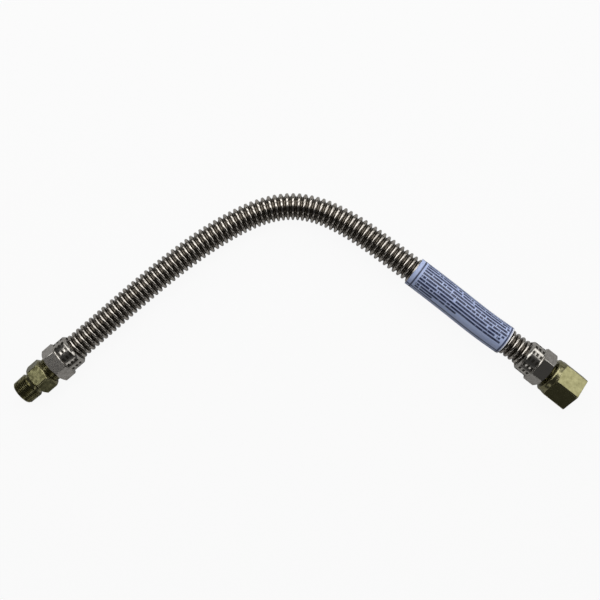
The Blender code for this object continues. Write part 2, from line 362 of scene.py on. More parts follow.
def chamfer_envelope(
    across_flats: float, start: float, end: float, near: Chamfer, far: Chamfer
) -> BMesh:
    """The turned shape that a hexagon bar is cut back to."""
    radius = corner_radius(across_flats)
    wide = radius + CUTTER_REACH
    outline = []
    for chamfer, x, inward in ((near, start, 1), (far, end, -1)):
        slope = (radius - chamfer.diameter / 2) / chamfer.length
        face = (x - inward * CUTTER_REACH, chamfer.diameter / 2 - slope * CUTTER_REACH)
        full = (x + inward * (chamfer.length + CUTTER_REACH / slope), wide)
        outline += [face, full] if inward > 0 else [full, face]
    return spun(outline)


def chamfered_hexagon(
    across_flats: float, start: float, end: float, edge: float, near: Chamfer, far: Chamfer
) -> BMesh:
    """A hexagon bar along x, with its long edges rounded and a chamfer on each end."""
    bar = hexagon_bar(across_flats, start, end, edge)
    return combined(bar, chamfer_envelope(across_flats, start, end, near, far), Cut.KEEP_COMMON)


def soften(bm: BMesh, width: float, angle: float = 25.0) -> None:
    """Rounds every edge that is sharper than an angle in degrees."""
    limit = math.radians(angle)
    sharp = [e for e in bm.edges if e.is_manifold and e.calc_face_angle(0) > limit]
    rounded(bm, sharp, width, segments=2, clamped=True)


@dataclass(frozen=True)
class Thread:
    """A screw thread along x: flat crests and roots, with 60 degree flanks between them.

    Attributes:
        diameter: Over the crests, at the end.
        pitch: From crest to crest.
        depth: From crest to root.
        taper: How much the diameter grows for each metre away from the end.
        corners: Where in a pitch each corner of its profile lies, and how far it is sunk.
        spare_turns: How many turns are made past each end, and cut off.
    """

    diameter: float
    pitch: float
    depth: float
    taper: float = 0.0
    sides: int = 64
    corners: tuple[tuple[float, float], ...] = ((0.07, 0.0), (0.43, 1.0), (0.57, 1.0), (0.93, 0.0))
    spare_turns: int = 2

    def rod(self, start: float, end: float, tip_chamfer: float = 0.0) -> BMesh:
        """A threaded rod from start to end, as a closed solid, with a chamfer at its end."""
        turns = math.ceil((end - start) / self.pitch) + 2 * self.spare_turns
        bm = bmesh.new()
        verts = []
        for turn in range(turns):
            for phase, sunk in self.corners:
                x = start + (turn - self.spare_turns + phase) * self.pitch
                verts.append(bm.verts.new((x, 0, self.diameter / 2 - sunk * self.depth)))
        edges = [bm.edges.new(pair) for pair in zip(verts, verts[1:])]
        bmesh.ops.spin(
            bm,
            geom=verts + edges,
            cent=(0, 0, 0),
            axis=(1, 0, 0),
            dvec=(self.pitch / self.sides, 0, 0),
            angle=math.tau,
            steps=self.sides,
        )
        bmesh.ops.remove_doubles(bm, verts=bm.verts, dist=CUT_MERGE_DISTANCE)
        for x, keep_above in ((start, True), (end, False)):
            bmesh.ops.bisect_plane(
                bm,
                geom=bm.verts[:] + bm.edges[:] + bm.faces[:],
                dist=MERGE_DISTANCE,
                plane_co=(x, 0, 0),
                plane_no=(1, 0, 0),
                clear_inner=keep_above,
                clear_outer=not keep_above,
            )
        for vert in bm.verts:
            radius = math.hypot(vert.co.y, vert.co.z)
            wanted = radius + (end - vert.co.x) * self.taper / 2
            limit = self.diameter / 2 - tip_chamfer + (end - vert.co.x)
            share = min(wanted, limit) / radius
            vert.co.y *= share
            vert.co.z *= share
        rim = [e for e in bm.edges if e.is_boundary]
        bmesh.ops.holes_fill(bm, edges=rim, sides=0)
        bmesh.ops.recalc_face_normals(bm, faces=bm.faces)
        return bm


@dataclass(frozen=True)
class Seat:
    """Where a fitting sits: the point at its nut's rear face, its heading and its roll."""

    origin: Vector
    heading: float
    roll: float

    @property
    def matrix(self) -> Matrix:
        """From the fitting's own frame to the world."""
        turn = Matrix.Rotation(math.radians(self.heading), 4, "Z")
        roll = Matrix.Rotation(math.radians(self.roll), 4, "X")
        return Matrix.Translation(self.origin) @ turn @ roll


class Graph:
    """A small helper that adds and links shader nodes in one tree."""

    def __init__(self, tree: NodeTree) -> None:
        """Works on a tree, and places its nodes in a row."""
        self.tree = tree
        self.column = 0

    @classmethod
    def of(cls, owner: Material | World) -> "Graph":
        """The graph of a material or world, emptied first."""
        owner.use_nodes = True
        owner.node_tree.nodes.clear()
        return cls(owner.node_tree)

    def feed(self, socket: NodeSocket, value: Feed) -> None:
        """Gives a socket its value, or links it to the socket that feeds it."""
        if isinstance(value, NodeSocket):
            self.tree.links.new(value, socket)
        else:
            socket.default_value = value

    def add(self, kind: str, inputs: dict | None = None, **settings) -> Node:
        """Adds a node.

        Args:
            kind: The node's type without its ShaderNode prefix.
            inputs: Socket name or number to a value, or to the socket that feeds it.
            settings: The node's own properties.

        Returns:
            The node.
        """
        node = self.tree.nodes.new("ShaderNode" + kind)
        node.location = (self.column * NODE_SPACING, 0)
        self.column += 1
        for name, value in settings.items():
            setattr(node, name, value)
        for name, value in (inputs or {}).items():
            self.feed(node.inputs[name], value)
        return node

    def math(self, operation: str, *values: Feed) -> NodeSocket:
        """The result of a Math node on numbers or sockets."""
        return self.add("Math", dict(enumerate(values)), operation=operation).outputs[0]

    def ramp(
        self, value: Feed, low: float, high: float, to_low: float = 0.0, to_high: float = 1.0
    ) -> NodeSocket:
        """Maps a value from one range to another, held at the range's ends."""
        inputs = {"Value": value, "From Min": low, "From Max": high}
        inputs |= {"To Min": to_low, "To Max": to_high}
        return self.add("MapRange", inputs).outputs["Result"]

    def mix(self, share: Feed, one: Feed, other: Feed) -> NodeSocket:
        """A colour between two."""
        return self.add("Mix", {0: share, 6: one, 7: other}, data_type="RGBA").outputs[2]

    def noise(self, place: Feed, scale: Feed, detail: float, **settings) -> NodeSocket:
        """A noise texture's value, from 0 to 1."""
        inputs = {"Vector": place, "Scale": scale, "Detail": detail}
        return self.add("TexNoise", inputs, **settings).outputs["Fac"]

    def bump(self, height: Feed, distance: float = MM, strength: float = 1.0) -> NodeSocket:
        """The normal of a surface whose height is given in steps of a distance."""
        inputs = {"Height": height, "Distance": distance, "Strength": strength}
        return self.add("Bump", inputs).outputs[0]


def new_group(name: str, inputs: dict, outputs: list[str]) -> tuple[Graph, dict, Node]:
    """An empty shader node group.

    Args:
        name: The group's name.
        inputs: Socket name to its default: a number, or None for a vector.
        outputs: The names of its value sockets.

    Returns:
        The group's graph, its input sockets by name, and its output node.
    """
    tree = bpy.data.node_groups.new(name, "ShaderNodeTree")
    for socket, default in inputs.items():
        kind = "NodeSocketVector" if default is None else "NodeSocketFloat"
        made = tree.interface.new_socket(name=socket, in_out="INPUT", socket_type=kind)
        if default is not None:
            made.default_value = default
    for socket in outputs:
        tree.interface.new_socket(name=socket, in_out="OUTPUT", socket_type="NodeSocketFloat")
    graph = Graph(tree)
    entry = tree.nodes.new("NodeGroupInput")
    leave = tree.nodes.new("NodeGroupOutput")
    return graph, {socket: entry.outputs[socket] for socket in inputs}, leave


def tool_marks_group() -> NodeTree:
    """Fine rings left by a lathe: Height from -1 to 1, and Tone, a slow change of shade."""
    defaults = {"Lathe": None, "Place": None, "Fineness": 6.0, "Unevenness": 0.4}
    graph, given, leave = new_group("tool_marks", defaults, ["Height", "Tone"])
    noise = {"Vector": given["Lathe"], "Scale": given["Fineness"], "Detail": 3.0, "Roughness": 0.6}
    rings = graph.add("TexNoise", noise, noise_dimensions="2D")
    blotch = graph.noise(given["Place"], 260.0, 4.0)
    height = graph.ramp(rings.outputs["Fac"], 0.3, 0.7, -1.0, 1.0)
    uneven = graph.math("MULTIPLY", blotch, given["Unevenness"])
    faded = graph.math("MULTIPLY", height, graph.math("SUBTRACT", 1.0, uneven))
    graph.feed(leave.inputs["Height"], faded)
    graph.feed(leave.inputs["Tone"], graph.ramp(blotch, 0.3, 0.7))
    return graph.tree


def grain_group() -> NodeTree:
    """Rough metal: Height from fine pits and scratches, and Spots, small dark specks."""
    defaults = {"Place": None, "Scale": 1500.0, "Speckle": 0.4}
    graph, given, leave = new_group("metal_grain", defaults, ["Height", "Spots"])
    fine = graph.noise(given["Place"], given["Scale"], 5.0)
    spots = graph.add("TexVoronoi", {"Vector": given["Place"], "Scale": 420.0})
    near = graph.ramp(spots.outputs["Distance"], 0.06, 0.22, 1.0, 0.0)
    graph.feed(leave.inputs["Height"], fine)
    graph.feed(leave.inputs["Spots"], graph.math("MULTIPLY", near, given["Speckle"]))
    return graph.tree


@dataclass(frozen=True)
class MetalFinish:
    """A bare or plated metal surface.

    Attributes:
        name: The material's name.
        slot: The record's material slot; not used.
        colour: Its main reflection colour, linear.
        shade: The colour of its darker patches.
        roughness: Its roughness where it is smoothest, and how much that rises in patches.
        grain: How deep the fine pits are, in metres.
        marks: How deep the lathe's rings are, in metres. 0 on a flat that was never turned.
    """

    name: str
    slot: str
    colour: tuple[float, float, float]
    shade: tuple[float, float, float]
    roughness: tuple[float, float]
    grain: float
    marks: float = 0.0

    def cover(self, graph: Graph, tone: Feed, rough: Feed, height: Feed) -> None:
        """Ends a material with metal that is darker by a tone and raised by millimetres."""
        look = {
            "Base Color": graph.mix(tone, (*self.colour, 1), (*self.shade, 1)),
            "Roughness": rough,
            "Metallic": 1.0,
            "Normal": graph.bump(height),
        }
        surface = graph.add("BsdfPrincipled", look)
        graph.add("OutputMaterial", {"Surface": surface.outputs[0]})

    def material(self, groups: dict[str, NodeTree]) -> Material:
        """Builds the finish as a material that reads the piece's own lathe coordinates."""
        made = bpy.data.materials.new(self.name)
        graph = Graph.of(made)
        place = graph.add("TexCoord").outputs["Object"]
        lathe = graph.add("UVMap", uv_map="lathe").outputs["UV"]
        where = {"Lathe": lathe, "Place": place}
        marks = graph.add("Group", where, node_tree=groups["tool_marks"])
        grain = graph.add("Group", {"Place": place}, node_tree=groups["metal_grain"])
        tone = graph.math("MAXIMUM", marks.outputs["Tone"], grain.outputs["Spots"])
        low, spread = self.roughness
        rough = graph.ramp(marks.outputs["Tone"], 0.0, 1.0, low, low + spread)
        ridges = graph.math("MULTIPLY", marks.outputs["Height"], self.marks / MM)
        pits = graph.math("MULTIPLY", grain.outputs["Height"], self.grain / MM)
        self.cover(graph, tone, rough, graph.math("ADD", ridges, pits))
        return made


@dataclass(frozen=True)
class BellowsFinish(MetalFinish):
    """The tube's rolled stainless steel: troughs painted darker towards the shade colour as painted
    shade, and rougher.
    """

    def material(self, groups: dict[str, NodeTree]) -> Material:
        """Builds the finish. The tube's attribute fold is 0 in a trough and 1 on a crest."""
        made = bpy.data.materials.new(self.name)
        graph = Graph.of(made)
        place = graph.add("TexCoord").outputs["Object"]
        fold = graph.add("Attribute", attribute_name="fold").outputs["Fac"]
        grain = graph.add("Group", {"Place": place}, node_tree=groups["metal_grain"])
        stain = graph.ramp(graph.noise(place, 90.0, 3.0), 0.35, 0.7, 0.0, 0.35)
        # Painted shade: the lower a point lies in a fold, the nearer its colour is to the shade
        # colour.
        depth = graph.ramp(fold, 0.45, 0.92, 0.85, 0.0)
        tone = graph.math("MAXIMUM", depth, stain)
        low, spread = self.roughness
        rough = graph.ramp(tone, 0.0, 0.8, low, low + spread)
        height = graph.math("MULTIPLY", grain.outputs["Height"], self.grain / MM)
        self.cover(graph, tone, rough, height)
        return made


@dataclass(frozen=True)
class SleeveFinish:
    """Pale blue printed film with a thin frame and rows of plain dark dashes.

    All lengths are in millimetres: along the sleeve from its end near the bend, and round it
    from the line along its top.
    """

    name: str = "printed_sleeve"
    slot: str = "printed_sleeve"
    field_colour: tuple[float, float, float] = (0.40, 0.48, 0.73)
    ink_colour: tuple[float, float, float] = (0.010, 0.016, 0.055)
    edge_colour: tuple[float, float, float] = (0.80, 0.80, 0.84)
    length: float = SLEEVE_LENGTH / MM
    bare_end: float = 1.0
    frame_ends: tuple[float, float] = (5.0, 112.6)
    frame_sides: tuple[float, float] = (-20.0, 16.9)
    first_row: float = -16.3
    row_spacing: float = 3.3
    row_start: float = 8.0
    row_ends: tuple[float, ...] = (111, 110, 111, 110, 111, 110, 109, 109, 58, 30)

    def row_group(self) -> NodeTree:
        """One row of dashes: Ink is 1 on them."""
        defaults = {"Along": 0.0, "Around": 0.0, "Line": 0.0, "Start": 0.0, "End": 1.0}
        graph, given, leave = new_group("dash_row", defaults, ["Ink"])
        away = graph.math("ABSOLUTE", graph.math("SUBTRACT", given["Around"], given["Line"]))
        line = graph.ramp(away, 0.95, 1.3, 1.0, 0.0)
        after = graph.math("GREATER_THAN", given["Along"], given["Start"])
        before = graph.math("LESS_THAN", given["Along"], given["End"])
        apart = graph.math("MULTIPLY", given["Line"], 7.0)
        where = graph.add("CombineXYZ", {"X": given["Along"], "Y": apart}).outputs[0]
        dashes = graph.noise(where, 0.42, 1.0, noise_dimensions="2D")
        strokes = graph.noise(where, 1.6, 0.0, noise_dimensions="2D")
        ink = graph.math("MULTIPLY", graph.math("MULTIPLY", line, after), before)
        ink = graph.math("MULTIPLY", ink, graph.ramp(dashes, 0.30, 0.34))
        ink = graph.math("MULTIPLY", ink, graph.ramp(strokes, 0.32, 0.50, 0.8, 1.0))
        graph.feed(leave.inputs["Ink"], ink)
        return graph.tree

    def material(self) -> Material:
        """Builds the finish. The UV map print holds millimetres along and round the sleeve."""
        made = bpy.data.materials.new(self.name)
        graph = Graph.of(made)
        place = graph.add("TexCoord").outputs["Object"]
        uv = graph.add("SeparateXYZ", {"Vector": graph.add("UVMap", uv_map="print").outputs["UV"]})
        along, around = uv.outputs["X"], uv.outputs["Y"]
        row_tree = self.row_group()
        ink = 0.0
        for i, end in enumerate(self.row_ends):
            row = {"Along": along, "Around": around, "Start": self.row_start, "End": end}
            row["Line"] = self.first_row + i * self.row_spacing
            node = graph.add("Group", row, node_tree=row_tree)
            ink = graph.math("MAXIMUM", node.outputs["Ink"], ink)
        for across, rules in ((along, self.frame_ends), (around, self.frame_sides)):
            for rule in rules:
                away = graph.math("ABSOLUTE", graph.math("SUBTRACT", across, rule))
                ink = graph.math("MAXIMUM", ink, graph.ramp(away, 0.7, 1.0, 0.9, 0.0))
        tone = graph.ramp(graph.noise(place, 300.0, 3.0), 0.3, 0.7, 0.0, 0.12)
        pale = graph.mix(tone, (*self.field_colour, 1), (*self.edge_colour, 1))
        bare = graph.math("GREATER_THAN", along, self.length - self.bare_end)
        ground = graph.mix(bare, pale, (*self.edge_colour, 1))
        colour = graph.mix(ink, ground, (*self.ink_colour, 1))
        wrinkled = graph.bump(graph.noise(place, 60.0, 2.0), distance=0.4 * MM, strength=0.5)
        look = {"Base Color": colour, "Roughness": 0.42, "Normal": wrinkled}
        surface = graph.add("BsdfPrincipled", look)
        graph.add("OutputMaterial", {"Surface": surface.outputs[0]})
        return made


# The tube's shade colour is both the painted shade in its troughs and the colour of its random stains.
STEEL_TUBE = BellowsFinish(
    name="stainless_bellows",
    slot="stainless_tube",
    colour=(0.46, 0.43, 0.39),
    shade=(0.10, 0.085, 0.065),
    roughness=(0.14, 0.14),
    grain=0.004 * MM,
)
NUT_TURNED = MetalFinish(
    name="nut_turned",
    slot="plated_nut",
    colour=(0.50, 0.48, 0.44),
    shade=(0.36, 0.34, 0.31),
    roughness=(0.16, 0.10),
    marks=0.004 * MM,
    grain=0.002 * MM,
)
# The marks' floors: a near-black colour painted as the shade in these shallow recesses
NUT_MARK_SHADE = MetalFinish(
    name="nut_marks_painted_shade",
    slot="plated_nut",
    colour=(0.07, 0.065, 0.055),
    shade=(0.04, 0.037, 0.032),
    roughness=(0.40, 0.10),
    grain=0.006 * MM,
)
NUT_FLAT = MetalFinish(
    name="nut_flats",
    slot="plated_nut",
    colour=(0.46, 0.44, 0.41),
    shade=(0.34, 0.32, 0.29),
    roughness=(0.26, 0.06),
    grain=0.004 * MM,
)
BRASS_TURNED = MetalFinish(
    name="brass_turned",
    slot="brass",
    colour=(0.33, 0.31, 0.18),
    shade=(0.15, 0.14, 0.07),
    roughness=(0.18, 0.12),
    marks=0.004 * MM,
    grain=0.002 * MM,
)
# A darker copy of the brass for the collar's flats: painted shade that dims the lamps' reflection
# there. Its rougher, coarser grain is the metal's own.
BRASS_COLLAR_SHADED = MetalFinish(
    name="brass_collar_shaded",
    slot="brass",
    colour=(0.24, 0.23, 0.12),
    shade=(0.08, 0.075, 0.035),
    roughness=(0.26, 0.14),
    grain=0.010 * MM,
)
BRASS_FLAT = MetalFinish(
    name="brass_flats",
    slot="brass",
    colour=(0.40, 0.38, 0.20),
    shade=(0.26, 0.245, 0.12),
    roughness=(0.13, 0.03),
    grain=0.004 * MM,
)


PRINTED_FILM = SleeveFinish()


@dataclass
class Fitting:
    """What a nut and an adapter share: a place on the tube's end, and two finishes.

    Attributes:
        tube_wall: How thick the flared wall is taken to be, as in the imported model.
        flat_tolerance: How far from a hexagon's flat a face that belongs to it may lie.
        sideways_limit: The most that such a face's normal may lean along x.
        square_limit: The least that the normal of a face square to x leans along it.
    """

    name: str
    seat: Seat
    turned_finish: MetalFinish
    flat_finish: MetalFinish
    tube_wall: float = 0.4 * MM
    flare_thread: Thread = Thread(26.2 * MM, 1.5875 * MM, 0.85 * MM)
    nut_length: float = 29.7 * MM
    flat_tolerance: float = 0.1 * MM
    sideways_limit: float = 0.05
    square_limit: float = 0.999

    def on_flare(self, radius: float, inset: float) -> float:
        """The x where a cone that lies squarely inset from the flare has a radius."""
        return FOLD_REACH + CUFF_LENGTH + radius - CUFF_DIAMETER / 2 + inset * DIAGONAL

    def put(self, bm: BMesh, across_flats: float, start: float) -> Object:
        """Places the solid, with its lathe coordinates and its finishes.

        Args:
            bm: The solid in the fitting's own frame.
            across_flats: The size of its hexagon.
            start: Where the hexagon starts along x.

        Returns:
            The piece.
        """
        uv = bm.loops.layers.uv.new("lathe")
        for face in bm.faces:
            middle = face.calc_center_median()
            sideways = abs(face.normal.x) < self.sideways_limit
            out = face.normal.dot(Vector((0, middle.y, middle.z)))
            on_flat = abs(out - across_flats / 2) < self.flat_tolerance
            face.material_index = FLAT if sideways and on_flat and middle.x > start else TURNED
            for loop in face.loops:
                co = loop.vert.co
                loop[uv].uv = (co.x / MM, math.hypot(co.y, co.z) / MM)
        piece = as_object(bm, self.name + "_shown")
        piece.data.transform(self.seat.matrix)
        piece.data.set_sharp_from_angle(angle=SMOOTH_ANGLE)
        axis = self.seat.matrix.to_3x3() @ Vector((1, 0, 0))
        for face in piece.data.polygons:
            square = abs(face.normal.dot(axis)) > self.square_limit
            face.use_smooth = face.material_index == TURNED and not square
        for finish in (self.turned_finish, self.flat_finish):
            piece.data.materials.append(MATERIALS[finish.name])
        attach(piece, "root")
        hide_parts(self.name)
        LOG.info("%s: %d faces", piece.name, len(piece.data.polygons))
        return piece


@dataclass
class FlareNut(Fitting):
    """A flare nut: a round turned skirt with rows of shallow plain marks, their floors painted dark as
    shade, then a hexagon.
    """

    mark_turn: float = 0.0
    skirt_diameter: float = 33.4 * MM
    skirt_length: float = 14.8 * MM
    skirt_chamfer: Chamfer = Chamfer(29.0 * MM, 2.3 * MM)
    skirt_round: float = 1.2 * MM
    groove_width: float = 1.5 * MM
    groove_radius: float = 0.9 * MM
    corner_round: float = 0.5 * MM
    front_chamfer: Chamfer = Chamfer(30.6 * MM, 2.2 * MM)
    back_chamfer: Chamfer = Chamfer(33.0 * MM, 1.5 * MM)
    lip_length: float = 3.0 * MM
    mark_rows: tuple[float, ...] = (3.9 * MM, 8.3 * MM, 12.7 * MM)
    marks_round: int = 14
    mark_length: float = 2.5 * MM
    mark_width: float = 3.6 * MM
    mark_depth: float = 0.45 * MM
    edge: float = 0.36 * MM
    round_steps: int = 5
    groove_steps: int = 12

    def mark_cutter(self) -> BMesh:
        """Small plain blocks, in rows round the skirt, that leave shallow marks in it."""
        bm = bmesh.new()
        height = self.mark_depth + CUTTER_REACH
        scale = Matrix.Diagonal((self.mark_length, self.mark_width, height, 1))
        for x in self.mark_rows:
            lift = Matrix.Translation((x, 0, self.skirt_diameter / 2 - self.mark_depth + height / 2))
            for k in range(self.marks_round):
                angle = math.radians(self.mark_turn) + math.tau * k / self.marks_round
                turn = Matrix.Rotation(angle, 4, "X")
                bmesh.ops.create_cube(bm, size=1.0, matrix=turn @ lift @ scale)
        return bm

    def skirt(self) -> BMesh:
        """The round part, from the rear face into the hexagon."""
        radius, length = self.skirt_diameter / 2, self.skirt_chamfer.length
        face = self.skirt_chamfer.diameter / 2
        slope = math.atan2(radius - face, length)
        reach = self.skirt_round * math.tan(slope / 2)
        centre = (length + reach, radius - self.skirt_round)
        corner = []
        for i in range(self.round_steps, -1, -1):
            turn = slope * i / self.round_steps
            x = centre[0] - self.skirt_round * math.sin(turn)
            corner.append((x, centre[1] + self.skirt_round * math.cos(turn)))
        end = self.skirt_length + self.back_chamfer.length
        return spun([(0, face), *corner, (end, radius)], SKIRT_SIDES)

    def groove(self) -> BMesh:
        """The ring that cuts a round-bottomed groove where the skirt meets the hexagon."""
        half, radius = self.groove_width / 2, self.groove_radius
        rise = math.sqrt(radius**2 - half**2)
        x, centre = self.skirt_length, self.skirt_diameter / 2 + rise
        step = 360 / self.groove_steps
        turns = [math.radians(step * i) for i in range(self.groove_steps)]
        ring = [(x + radius * math.sin(t), centre - radius * math.cos(t)) for t in turns]
        return spun(ring, SKIRT_SIDES, closed=True)

    def build(self) -> Object:
        """Models the nut and puts it on the tube's end."""
        start, length = self.skirt_length, self.nut_length
        body = chamfered_hexagon(
            NUT_FLATS, start, length, self.corner_round, self.back_chamfer, self.front_chamfer
        )
        body = combined(body, self.skirt(), Cut.JOIN)
        body = combined(body, self.groove(), Cut.REMOVE)
        fold_bore = CREST_DIAMETER / 2 + TOUCH_GAP
        cuff_bore = CUFF_DIAMETER / 2 + TOUCH_GAP
        thread_bore = self.flare_thread.diameter / 2 + TOUCH_GAP
        cone = self.on_flare(cuff_bore, -TOUCH_GAP)
        bore = [
            (-CUTTER_REACH, fold_bore),
            (cone - self.lip_length, fold_bore),
            (cone - self.lip_length, cuff_bore),
            (cone, cuff_bore),
            (self.on_flare(thread_bore, -TOUCH_GAP), thread_bore),
            (length + CUTTER_REACH, thread_bore),
        ]
        body = combined(body, spun(bore), Cut.REMOVE)
        soften(body, self.edge)
        body = combined(body, self.mark_cutter(), Cut.REMOVE)
        piece = self.put(body, NUT_FLATS, start)
        # Faces on the marks' floors get the near-black finish: painted shade in the recesses
        piece.data.materials.append(MATERIALS[NUT_MARK_SHADE.name])
        back = self.seat.matrix.inverted()
        bottom = self.skirt_diameter / 2 - self.mark_depth
        for face in piece.data.polygons:
            middle = back @ face.center
            in_row = any(abs(middle.x - x) <= self.mark_length / 2 for x in self.mark_rows)
            if in_row and abs(math.hypot(middle.y, middle.z) - bottom) < self.mark_depth / 2:
                face.material_index = MARK_SHADE
        return piece


@dataclass
class Adapter(Fitting):
    """A brass adapter's share that screws into the nut: bore, flare cone and flare thread."""

    bore_diameter: float = 18.0 * MM
    nose_land: float = 0.6 * MM
    thread_after_cone: float = 0.4 * MM
    thread_in_shoulder: float = 0.6 * MM
    corner_round: float = 0.8 * MM
    edge: float = 0.3 * MM

    def nose(self) -> Profile:
        """The profile of the nose: the bore's edge, then the cone up to the thread's root."""
        land = self.bore_diameter / 2 + self.nose_land
        root = self.flare_thread.diameter / 2 - self.flare_thread.depth
        inset = self.tube_wall + TOUCH_GAP
        return [(self.on_flare(land, inset), land), (self.on_flare(root, inset), root)]

    def threaded_nose(self, body: BMesh, shoulder: float) -> BMesh:
        """Adds the nose and its thread to a body that starts at a shoulder."""
        nose = self.nose()
        cone_end, root = nose[-1]
        body = combined(body, spun([*nose, (shoulder + OVERLAP, root)]), Cut.JOIN)
        thread_end = shoulder + self.thread_in_shoulder
        rod = self.flare_thread.rod(cone_end + self.thread_after_cone, thread_end)
        return combined(body, rod, Cut.JOIN)


@dataclass
class MaleAdapter(Adapter):
    """The adapter with a hexagon collar and a male tapered pipe thread."""

    nut_to_collar: float = 5.3 * MM
    collar_flats: float = 30.0 * MM
    collar_length: float = 17.0 * MM
    collar_chamfer: Chamfer = Chamfer(27.6 * MM, 3.0 * MM)
    relief_diameter: float = 23.2 * MM
    relief_length: float = 4.0 * MM
    thread_length: float = 14.5 * MM
    thread: Thread = Thread(25.6 * MM, 1.814 * MM, 1.15 * MM, taper=1 / 16)
    tip_chamfer: float = 1.3 * MM
    bore_chamfer: float = 0.7 * MM

    def build(self) -> Object:
        """Models the adapter and puts it in its nut."""
        start = self.nut_length + self.nut_to_collar
        end = start + self.collar_length
        chamfers = (self.collar_chamfer, self.collar_chamfer)
        body = chamfered_hexagon(self.collar_flats, start, end, self.corner_round, *chamfers)
        relief = self.relief_diameter / 2
        thread_start = end + self.relief_length
        tip = thread_start + self.thread_length
        neck = [(end - OVERLAP, relief), (thread_start + OVERLAP, relief)]
        body = combined(body, spun(neck), Cut.JOIN)
        soften(body, self.edge)
        rod = self.thread.rod(thread_start, tip, self.tip_chamfer)
        body = combined(body, rod, Cut.JOIN)
        body = self.threaded_nose(body, start)
        bore = self.bore_diameter / 2
        first = self.nose()[0][0] - CUTTER_REACH
        hole = [
            (first, bore),
            (tip - self.bore_chamfer, bore),
            (tip + CUTTER_REACH, bore + self.bore_chamfer + CUTTER_REACH),
        ]
        return self.put(combined(body, spun(hole), Cut.REMOVE), self.collar_flats, start)


@dataclass
class FemaleAdapter(Adapter):
    """The adapter with a round shoulder, a hexagon block and a threaded pipe socket."""

    nut_to_shoulder: float = 2.1 * MM
    shoulder_diameter: float = 36.8 * MM
    shoulder_length: float = 5.7 * MM
    shoulder_face: float = 29.0 * MM
    shoulder_round: float = 2.4 * MM
    round_steps: int = 6
    block_length: float = 26.4 * MM
    block_chamfer: Chamfer = Chamfer(42.0 * MM, 0.6 * MM)
    back_chamfer: Chamfer = Chamfer(36.4 * MM, 1.8 * MM)
    socket_depth: float = 16.5 * MM
    lead_chamfer: float = 1.2 * MM
    thread: Thread = Thread(25.9 * MM, 1.814 * MM, 1.15 * MM, taper=-1 / 16)

    def shoulder(self, start: float, block_start: float) -> BMesh:
        """The round shoulder, from its rounded rear edge into the block."""
        low, high = self.shoulder_face / 2, self.shoulder_diameter / 2
        rounding = []
        for i in range(self.round_steps + 1):
            turn = math.radians(90 / self.round_steps * i)
            x = start + self.shoulder_round * (1 - math.cos(turn))
            rounding.append((x, low + (high - low) * math.sin(turn)))
        inside = block_start + self.back_chamfer.length
        return spun([*rounding, (inside, high)])

    def build(self) -> Object:
        """Models the adapter and puts it in its nut."""
        start = self.nut_length + self.nut_to_shoulder
        block_start = start + self.shoulder_length
        mouth = block_start + self.block_length
        chamfers = (self.back_chamfer, self.block_chamfer)
        body = chamfered_hexagon(BLOCK_FLATS, block_start, mouth, self.corner_round, *chamfers)
        body = combined(body, self.shoulder(start, block_start), Cut.JOIN)
        soften(body, self.edge)
        body = self.threaded_nose(body, start)
        bore = self.bore_diameter / 2
        first = self.nose()[0][0] - CUTTER_REACH
        floor = mouth - self.socket_depth
        wide = self.thread.diameter / 2 - self.thread.depth / 2
        hole = [
            (first, bore),
            (floor + OVERLAP, bore),
            (mouth - self.lead_chamfer, bore),
            (mouth - self.lead_chamfer, wide),
            (mouth + CUTTER_REACH, wide + self.lead_chamfer + CUTTER_REACH),
        ]
        body = combined(body, spun(hole), Cut.REMOVE)
        body = combined(body, self.thread.rod(floor, mouth + CUTTER_REACH), Cut.REMOVE)
        return self.put(body, BLOCK_FLATS, block_start)


